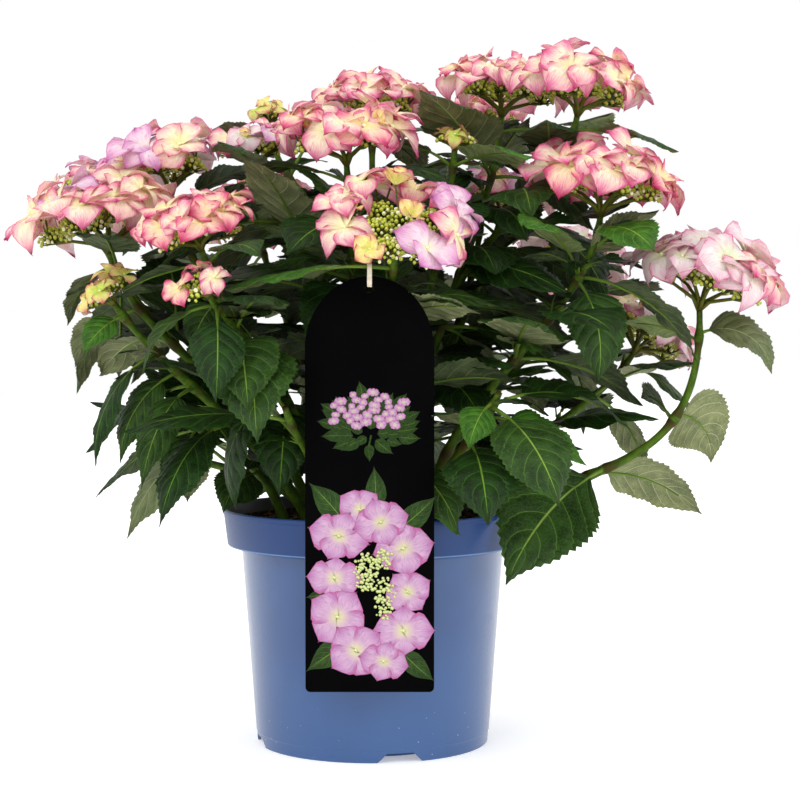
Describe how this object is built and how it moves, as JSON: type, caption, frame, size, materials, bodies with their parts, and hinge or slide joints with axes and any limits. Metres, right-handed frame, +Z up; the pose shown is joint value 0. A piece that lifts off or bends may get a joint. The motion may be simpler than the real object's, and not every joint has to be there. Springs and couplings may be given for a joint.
{
  "type": "hydrangea shrub",
  "caption": "Lacecap hydrangea shrub in flower: canes with broad toothed leaves and flat-topped flower heads, rooted in soil in a round tapered nursery pot with an arched hang label.",
  "frame": {"origin": "on the pot's axis, at the centre of the flat underside that it stands on", "axes": "+Z up along the pot's axis, -Y towards the viewer on the side with the label, +X to the viewer's right"},
  "size_m": [0.5898, 0.4404, 0.532],
  "materials": {
    "blue_plastic": "satin moulded plastic with fine scuffs",
    "potting_mix": "moist crumbly peat mix with fibres",
    "green_bark": "smooth green bark with brown streaks and leaf scars",
    "foliage": "soft satin leaf, quilted between paler veins",
    "leaf_backs": "matt pale green with raised veins",
    "sepals": "soft matt petal, cream at the heart and deep pink at the margin",
    "flower_buds": "small matt beads",
    "white_strap": "soft satin strap",
    "black_card": "black laminated card with a flower drawing"
  },
  "bodies": {
    "root": {"pot": "blue_plastic", "soil": "potting_mix", "cane_front": "green_bark", "shoot_front": "foliage", "cane_top_right": "green_bark", "shoot_top_right": "foliage", "cane_top_centre": "green_bark", "shoot_top_centre": "foliage", "cane_crown_left": "green_bark", "shoot_crown_left": "foliage", "cane_left_high": "green_bark", "shoot_left_high": "foliage", "cane_left_far": "green_bark", "shoot_left_far": "foliage", "cane_left_mid": "green_bark", "shoot_left_mid": "foliage", "cane_young_left": "green_bark", "shoot_young_left": "foliage", "cane_right_mid": "green_bark", "shoot_right_mid": "foliage", "cane_young_mid": "green_bark", "shoot_young_mid": "foliage", "cane_right_low": "green_bark", "shoot_right_low": "foliage", "cane_right_back": "green_bark", "shoot_right_back": "foliage", "cane_back_mid": "green_bark", "shoot_back_mid": "foliage", "cane_back_left": "green_bark", "shoot_back_left": "foliage", "cane_back_centre": "green_bark", "shoot_back_centre": "foliage", "cane_back_right": "green_bark", "shoot_back_right": "foliage", "cane_young_low": "green_bark", "shoot_young_low": "foliage", "cane_low_front_left": "green_bark", "shoot_low_front_left": "foliage", "cane_low_front_right": "green_bark", "shoot_low_front_right": "foliage", "cane_low_left": "green_bark", "shoot_low_left": "foliage", "cane_low_back": "green_bark", "shoot_low_back": "foliage", "label_tie": "white_strap", "label_card": "black_card"}
  },
  "joints": []
}
